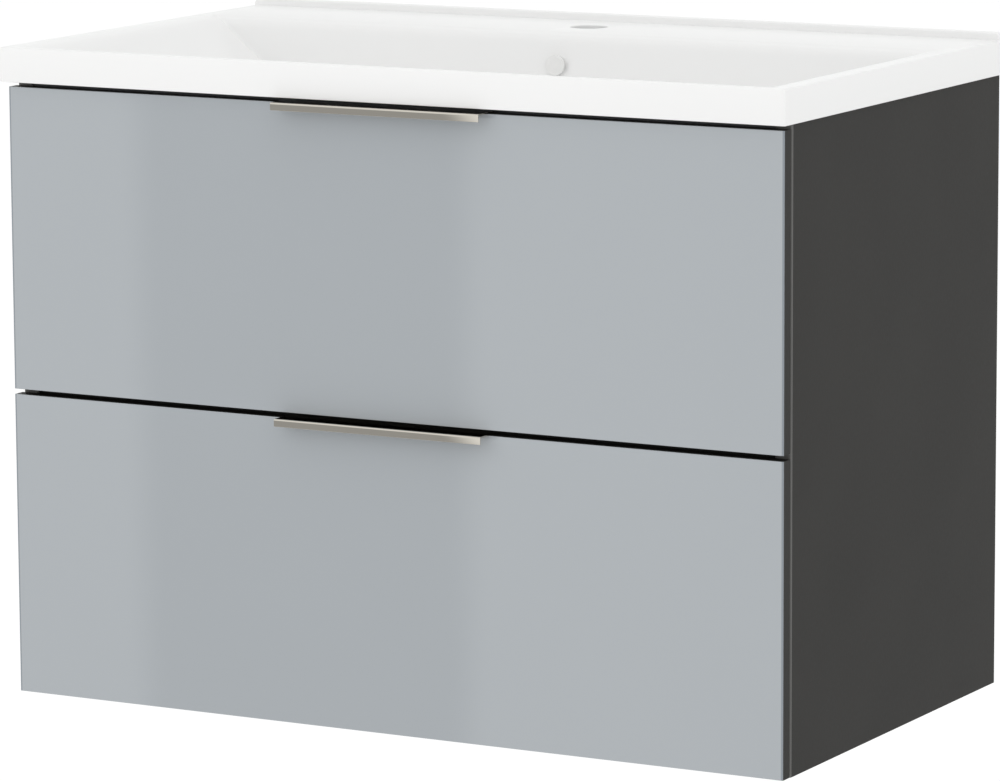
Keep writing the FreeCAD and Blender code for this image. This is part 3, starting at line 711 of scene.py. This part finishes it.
def make_washbasin():
    low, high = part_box("washbasin")
    rim = high.z - UPSTAND_HIGH
    half = high.x
    shape = bmesh.new()
    bowl = bowl_rows(shape, low, rim)

    # from the waste's seat through the hole to the boss's lower face, and up the boss
    waste = low.y + WASTE_Y
    hole = [bowl[-1]]
    for radius, drop in (
        (WASTE_SEAT - 0.5 * MM, 113.2 * MM),
        (WASTE_SEAT - 1.5 * MM, 113.5 * MM),
        (WASTE_RADIUS + 1 * MM, 113.5 * MM),
        (WASTE_RADIUS + 0.3 * MM, 113.8 * MM),
        (WASTE_RADIUS, 114.5 * MM),
        (WASTE_RADIUS, BOSS_DROP - 1 * MM),
        (WASTE_RADIUS + 1 * MM, BOSS_DROP),
        (BOSS_RADIUS - 2 * MM, BOSS_DROP),
        (BOSS_RADIUS, BOSS_DROP - 2 * MM),
        (BOSS_RADIUS, 122 * MM),
        (BOSS_RADIUS + 5 * MM, 117 * MM),
    ):
        hole.append(add_row(shape, circle_ring(radius, waste, rim - drop)))

    # the bowl's outer surface, back up to the deck's underside
    for wide, near, far, corner, drop in BOWL_OUTSIDE:
        corners = (corner, corner)
        hole.append(add_row(shape, basin_ring(wide, near, far, corners, drop, low, rim)))
    bridge_all(shape, hole)

    # the outer edge: rounded lip, upright wall, foot of the skirt and the skirt's inner face
    def edge_ring(inward, height, rear=None):
        corner = max(BASIN_CORNER - inward, 0.5 * MM)
        rear = -inward if rear is None else rear
        return add_row(shape, ring(half - inward, low.y + inward, rear, corner, 0.3 * MM, height))

    edge = []
    for step in range(9):
        angle = math.radians(90 * step / 8)
        inward = BASIN_LIP * (1 - math.sin(angle))
        edge.append(edge_ring(inward, rim - BASIN_LIP * (1 - math.cos(angle)), rear=0.0))
    bottom = rim - EDGE_HIGH
    edge.append(edge_ring(0, bottom + 1 * MM))
    edge.append(edge_ring(0.3 * MM, bottom + 0.3 * MM))
    edge.append(edge_ring(1 * MM, bottom))
    edge.append(edge_ring(SKIRT - 1 * MM, bottom))
    edge.append(edge_ring(SKIRT, bottom + 1 * MM))
    edge.append(edge_ring(SKIRT, rim - DECK_THICK))
    bridge_all(shape, edge)

    bridge(shape, edge[0], bowl[0])
    bridge(shape, edge[-1], hole[-1])
    bmesh.ops.recalc_face_normals(shape, faces=shape.faces)
    return shape


def tap_drill(low, rim):
    """The tap hole through the deck, with a small rounded edge."""
    soft = 1.2 * MM
    bottom = -DECK_THICK - 1 * MM
    profile = [(0, bottom), (TAP_RADIUS, bottom)]
    for step in range(6):
        angle = math.radians(90 * step / 5)
        profile.append((TAP_RADIUS + soft * (1 - math.cos(angle)), -soft * (1 - math.sin(angle))))
    wide = TAP_RADIUS + soft * 1.3
    profile += [(wide, 0.3 * MM), (wide, 1 * MM), (0, 1 * MM)]
    return lathe(profile, (0, low.y + TAP_Y, rim), (0, 0, 1), 64)


CASING_HALF = 26 * MM
SPINE_HALF = 20 * MM
OVERFLOW_DROP = 30 * MM
OVERFLOW_HOLE = 8.2 * MM


def overflow_casing(low, rim):
    """The hidden way of the overflow: a casing behind the bowl and a spine to the waste's boss."""

    def outline(*corners):
        return [(low.y + along * MM, rim - drop * MM) for along, drop in corners]

    behind = outline(
        (346, 10), (373, 10), (375, 12), (375, 138), (373, 140), (327, 140), (327, 113), (328, 105)
    )
    beneath = outline((264, 114), (262, 138), (264, 140), (330, 140), (330, 114))
    casing = extruded(behind, -CASING_HALF, CASING_HALF)
    spine = extruded(beneath, -SPINE_HALF, SPINE_HALF)
    return casing, spine


def overflow_drill(low, rim):
    start = low.y + 322 * MM
    profile = [(0, 0), (OVERFLOW_HOLE, 0), (OVERFLOW_HOLE, 40 * MM), (0, 40 * MM)]
    return lathe(profile, (0, start, rim - OVERFLOW_DROP), (0, 1, 0))


def make_casting():
    """The washbasin with its overflow, as one casting."""
    low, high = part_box("washbasin")
    rim = high.z - UPSTAND_HIGH
    casing, spine = overflow_casing(low, rim)
    steps = (
        ("UNION", casing),
        ("UNION", spine),
        ("DIFFERENCE", overflow_drill(low, rim)),
        ("DIFFERENCE", tap_drill(low, rim)),
    )
    return shaped(make_washbasin(), *steps)


def make_upstand():
    """The low strip along the wall, with rounded ends, a rounded front edge and a soft foot."""
    low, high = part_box("washbasin")
    deck = high.z - UPSTAND_HIGH
    corners = []
    for side in (1, -1):
        for step in range(9):
            angle = math.radians(90 * step / 8)
            if side > 0:
                x = high.x - UPSTAND_ROUND + UPSTAND_ROUND * math.cos(angle)
            else:
                x = -high.x + UPSTAND_ROUND - UPSTAND_ROUND * math.sin(angle)
            lift = math.sin(angle) if side > 0 else math.cos(angle)
            corners.append((x, high.z - UPSTAND_ROUND + UPSTAND_ROUND * lift))
    corners = [(high.x, deck - BASIN_LIP), *corners, (-high.x, deck - BASIN_LIP)]
    shape = bmesh.new()
    soft = 1.6 * MM
    rows = [add_row(shape, [(x, -FLUSH, z) for x, z in corners])]
    for step in range(7):
        angle = math.radians(90 * step / 6)
        inward = soft * (1 - math.cos(angle))
        y = -UPSTAND_DEPTH + soft * (1 - math.sin(angle))
        points = []
        for x, z in corners:
            x_in = math.copysign(abs(x) - inward * min(1, abs(x) / high.x) ** 40, x)
            z_in = z - inward * max(0, (z - deck) / (high.z - deck))
            points.append((x_in, y, z_in))
        rows.append(add_row(shape, points))
    bridge_all(shape, rows)
    shape.faces.new(rows[0])
    shape.faces.new(rows[-1])
    return shape


# ---- handles and small fittings ----------------------------------------------------------------

PULL_THICK = 1.2 * MM
PULL_LIP = 7 * MM
PULL_BEND = 1.5 * MM
SCREW_PITCH = 80 * MM
SCREW_HEAD = 3.2 * MM
BUMPER_RADIUS = 4 * MM


def rounded_loop(corners, reaches, steps=6):
    """A closed line whose corners are rounded by curves that reach so far along both arms."""
    line = []
    for index, (corner, reach) in enumerate(zip(corners, reaches)):
        here = Vector(corner)
        before = Vector(corners[index - 1]) - here
        after = Vector(corners[(index + 1) % len(corners)]) - here
        start = here + before.normalized() * reach
        end = here + after.normalized() * reach
        for step in range(steps + 1):
            share = step / steps
            line.append(tuple(start.lerp(here, share).lerp(here.lerp(end, share), share)))
    return line


def inset(line, distance):
    """A closed anticlockwise line, moved inwards."""
    moved = []
    for index, point in enumerate(line):
        before, after = line[index - 1], line[(index + 1) % len(line)]
        way = (Vector(after) - Vector(before)).normalized()
        moved.append((point[0] - way.y * distance, point[1] + way.x * distance))
    return moved


def make_handle(drawer):
    """Bent sheet: a lip in front, a plate over the front's upper edge and a leg behind it."""
    low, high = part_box(f"{drawer}_handle")
    top = high.z - PULL_THICK
    corners = [
        (low.y, high.z - PULL_LIP),
        (low.y + PULL_THICK, high.z - PULL_LIP),
        (low.y + PULL_THICK, top),
        (high.y - PULL_THICK, top),
        (high.y - PULL_THICK, low.z),
        (high.y, low.z),
        (high.y, high.z),
        (low.y, high.z),
    ]
    tiny = 0.25 * MM
    line = rounded_loop(corners, (tiny, tiny, tiny, tiny, tiny, tiny, PULL_BEND, PULL_BEND))
    burr = 0.15 * MM
    shape = bmesh.new()
    rows = []
    for x, inward in ((low.x, burr), (low.x + burr, 0), (high.x - burr, 0), (high.x, burr)):
        rows.append(add_row(shape, [(x, y, z) for y, z in (inset(line, inward) if inward else line)]))
    bridge_all(shape, rows)
    fill_between(shape, rows[0])
    fill_between(shape, rows[-1])
    return shape


def cross_cutter(middle, reach, depth):
    """Two crossed bars that press a recess into a screw's head."""
    bars = []
    for wide, tall in ((reach, reach * 0.28), (reach * 0.28, reach)):
        low = (middle[0] - wide, middle[1] - depth, middle[2] - tall)
        high = (middle[0] + wide, middle[1] + depth, middle[2] + tall)
        bars.append(box_mesh(low, high))
    return bars


def make_handle_screws(drawer):
    """Three pan-head screws with crossed recesses, whose heads stand on the handle's leg."""
    low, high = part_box(f"{drawer}_handle_screws")
    middle_z = (low.z + high.z) / 2
    head = 2 * MM
    seat = high.y - head
    screws = []
    for step in (-1, 0, 1):
        middle = (step * SCREW_PITCH, 0, middle_z)
        profile = [
            (0, low.y), (0.6 * MM, low.y), (1.8 * MM, low.y + 2.5 * MM), (1.8 * MM, seat),
            (SCREW_HEAD - 0.15 * MM, seat), (SCREW_HEAD, seat + 0.2 * MM),
            (SCREW_HEAD, seat + head * 0.45), (SCREW_HEAD * 0.86, seat + head * 0.78),
            (SCREW_HEAD * 0.55, seat + head * 0.96), (0.2 * MM, high.y), (0, high.y),
        ]
        screw = lathe(profile, middle, (0, 1, 0))
        bars = cross_cutter((middle[0], high.y, middle_z), 1.7 * MM, 1.2 * MM)
        screws.append(shaped(screw, ("DIFFERENCE", bars[0]), ("DIFFERENCE", bars[1])))
    return together(*screws)


def make_bumpers(drawer):
    """Four clear domes that meet the cabinet's front edges."""
    low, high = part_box(f"{drawer}_bumpers")
    tall = high.y - low.y
    profile = [(0, 0), (BUMPER_RADIUS - 0.1 * MM, 0), (BUMPER_RADIUS, 0.15 * MM)]
    for step in range(1, 9):
        angle = math.radians(90 * step / 9)
        profile.append((BUMPER_RADIUS * math.cos(angle), 0.3 * MM + (tall - 0.3 * MM) * math.sin(angle)))
    profile.append((0, tall))
    domes = []
    for x in (low.x + BUMPER_RADIUS, high.x - BUMPER_RADIUS):
        for z in (low.z + BUMPER_RADIUS, high.z - BUMPER_RADIUS):
            domes.append(lathe(profile, (x, low.y, z), (0, 1, 0)))
    return together(*domes)


# ---- whole -------------------------------------------------------------------------------------

place_camera()
make_world()
make_floor()
place_lamps()
materials = make_materials()

slots = {row["node"]: row["material_slot"] for row in frame["record"]["subparts"]}
for node, piece in nodes.items():
    piece.data.materials.clear()
    piece.data.materials.append(materials[slots[node]])

add_piece("basin_casting", make_casting(), "cabinet", "cast_mineral", "washbasin")
add_piece("basin_upstand", make_upstand(), "cabinet", "cast_mineral", "washbasin")
for drawer in ("upper", "lower"):
    body = f"{drawer}_drawer"
    pull = make_handle(drawer)
    add_piece(f"{drawer}_edge_pull", pull, body, "handle_steel", f"{drawer}_handle", even=True)
    screws = make_handle_screws(drawer)
    add_piece(f"{drawer}_pull_screws", screws, body, "fixing_steel", f"{drawer}_handle_screws")
    add_piece(f"{drawer}_soft_dots", make_bumpers(drawer), body, "bumper", f"{drawer}_bumpers")

SOFT_EDGES = {
    0.35: (
        "side_panel_left", "side_panel_right", "bottom_panel", "middle_rail", "hanging_rail", "rear_rail",
        "upper_front", "lower_front",
    ),
    0.5: (
        "front_stretcher", "hanger_plate_left", "hanger_plate_right",
        "upper_front_brackets", "lower_front_brackets",
    ),
    0.4: (
        "upper_drawer_bottom", "lower_drawer_bottom", "lower_drawer_back",
        "upper_drawer_back_left", "upper_drawer_back_right",
        "upper_niche_front", "upper_niche_left", "upper_niche_right",
    ),
    0.3: ("overflow_cover",),
}
for width, group in SOFT_EDGES.items():
    for node in group:
        soften(node, width * MM)

bpy.context.scene.view_settings.view_transform = "Standard"
